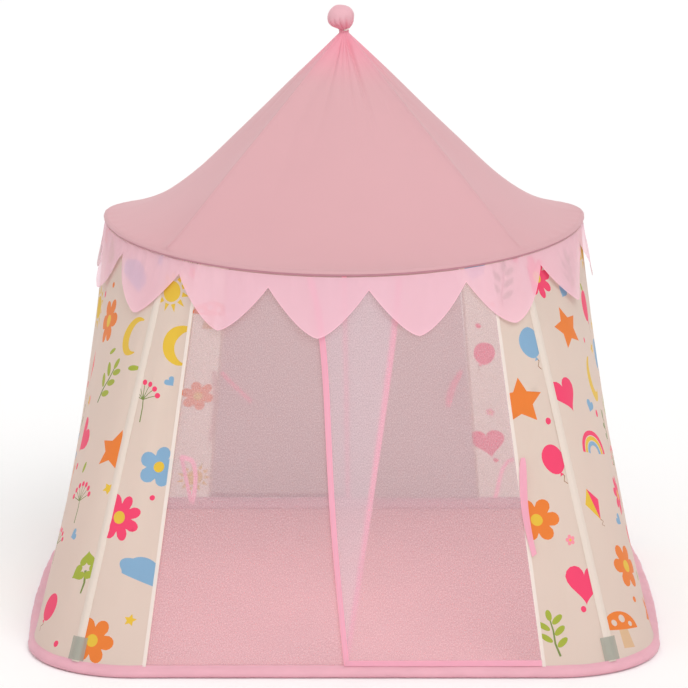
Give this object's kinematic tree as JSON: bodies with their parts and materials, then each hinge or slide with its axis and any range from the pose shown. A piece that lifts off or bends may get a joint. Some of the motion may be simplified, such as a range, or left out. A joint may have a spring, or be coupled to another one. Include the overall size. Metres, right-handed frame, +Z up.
{
  "type": "kids play tent",
  "caption": "Free-standing child's play tent with a pointed roof on a round eave hoop, a scalloped sheer valance, printed walls, overlapping mesh door leaves and a rounded square padded base",
  "frame": {"origin": "On the ground, under the middle of the tent", "axes": "+X to the right seen from the front doorway, +Y towards the back doorway, +Z up"},
  "size_m": [1.35, 1.33, 1.285],
  "materials": {
    "canopy_cloth": "matt woven polyester",
    "wall_cloth": "matt printed polyester",
    "door_mesh": "fine open net",
    "binding_tape": "satin tape",
    "sheer_cloth": "sheer organza",
    "casing_tape": "matt tape",
    "edge_cloth": "padded polyester",
    "floor_cloth": "coated polyester",
    "knob_cloth": "stuffed and gathered polyester",
    "patch_film": "clear film",
    "fitting_plastic": "moulded",
    "rod_fibreglass": "drawn fibreglass",
    "foot_rubber": "moulded",
    "ferrule_steel": "drawn tube"
  },
  "bodies": {
    "shell": {"back_inner_header": "door_mesh", "back_left_panel": "wall_cloth", "back_outer_header": "door_mesh", "back_right_panel": "wall_cloth", "base_casing": "edge_cloth", "base_ferrule": "ferrule_steel", "base_hoop": "rod_fibreglass", "canopy_back": "canopy_cloth", "canopy_front": "canopy_cloth", "canopy_left": "canopy_cloth", "canopy_right": "canopy_cloth", "corner_patch_back_left": "patch_film", "corner_patch_back_right": "patch_film", "corner_patch_front_left": "patch_film", "corner_patch_front_right": "patch_film", "crown_hub": "fitting_plastic", "eave_elbow_back_left": "fitting_plastic", "eave_elbow_back_right": "fitting_plastic", "eave_elbow_front_left": "fitting_plastic", "eave_elbow_front_right": "fitting_plastic", "eave_ferrule": "ferrule_steel", "eave_hoop": "rod_fibreglass", "floor_sheet": "floor_cloth", "foot_tip_back_left": "foot_rubber", "foot_tip_back_right": "foot_rubber", "foot_tip_front_left": "foot_rubber", "foot_tip_front_right": "foot_rubber", "front_inner_header": "door_mesh", "front_left_panel": "wall_cloth", "front_outer_header": "door_mesh", "front_right_panel": "wall_cloth", "hoop_casing": "casing_tape", "knob_tie": "casing_tape", "left_wall": "wall_cloth", "right_wall": "wall_cloth", "roof_rod_back_left": "rod_fibreglass", "roof_rod_back_right": "rod_fibreglass", "roof_rod_front_left": "rod_fibreglass", "roof_rod_front_right": "rod_fibreglass", "top_knob": "knob_cloth", "valance": "sheer_cloth", "wall_rod_back_left": "rod_fibreglass", "wall_rod_back_right": "rod_fibreglass", "wall_rod_front_left": "rod_fibreglass", "wall_rod_front_right": "rod_fibreglass"},
    "front_outer_leaf_body": {"front_outer_leaf": "door_mesh", "front_outer_binding": "binding_tape"},
    "front_inner_leaf_body": {"front_inner_leaf": "door_mesh", "front_inner_binding": "binding_tape", "front_inner_hem": "door_mesh"},
    "front_outer_tie_body": {"front_outer_tie": "binding_tape"},
    "front_inner_tie_body": {"front_inner_tie": "binding_tape"},
    "back_outer_leaf_body": {"back_outer_leaf": "door_mesh", "back_outer_binding": "binding_tape"},
    "back_inner_leaf_body": {"back_inner_leaf": "door_mesh", "back_inner_binding": "binding_tape", "back_inner_hem": "door_mesh"},
    "back_outer_tie_body": {"back_outer_tie": "binding_tape"},
    "back_inner_tie_body": {"back_inner_tie": "binding_tape"}
  },
  "joints": [
    {"name": "front_outer_leaf_swing", "type": "hinge", "parent": "shell", "child": "front_outer_leaf_body", "pos_m": [0.39331, -0.65103, 0.03281], "axis": [-0.1245, 0.2857, 0.9502], "range_deg": [0, 88]},
    {"name": "front_inner_leaf_swing", "type": "hinge", "parent": "shell", "child": "front_inner_leaf_body", "pos_m": [-0.39329, -0.64586, 0.03125], "axis": [0.1277, 0.2849, 0.95], "range_deg": [0, 75], "deforming": ["front_inner_hem"]},
    {"name": "front_outer_tie_swing", "type": "hinge", "parent": "shell", "child": "front_outer_tie_body", "pos_m": [0.35492, -0.53088, 0.42094], "axis": [-0.9722, -0.2329, -0.0229], "range_deg": [0, 50]},
    {"name": "front_inner_tie_swing", "type": "hinge", "parent": "front_inner_leaf_body", "child": "front_inner_tie_body", "pos_m": [-0.33025, -0.52739, 0.42331], "axis": [1, 0, 0], "range_deg": [0, 60]},
    {"name": "back_outer_leaf_swing", "type": "hinge", "parent": "shell", "child": "back_outer_leaf_body", "pos_m": [-0.32379, 0.65136, 0.03273], "axis": [0.0863, -0.2602, 0.9617], "range_deg": [0, 88]},
    {"name": "back_inner_leaf_swing", "type": "hinge", "parent": "shell", "child": "back_inner_leaf_body", "pos_m": [0.32377, 0.64615, 0.03132], "axis": [-0.0893, -0.2596, 0.9616], "range_deg": [0, 75], "deforming": ["back_inner_hem"]},
    {"name": "back_outer_tie_swing", "type": "hinge", "parent": "shell", "child": "back_outer_tie_body", "pos_m": [-0.30682, 0.55925, 0.3628], "axis": [0.9838, 0.1786, -0.0178], "range_deg": [0, 50]},
    {"name": "back_inner_tie_swing", "type": "hinge", "parent": "back_inner_leaf_body", "child": "back_inner_tie_body", "pos_m": [0.28279, 0.55443, 0.36549], "axis": [-1, 0, 0], "range_deg": [0, 60]}
  ]
}
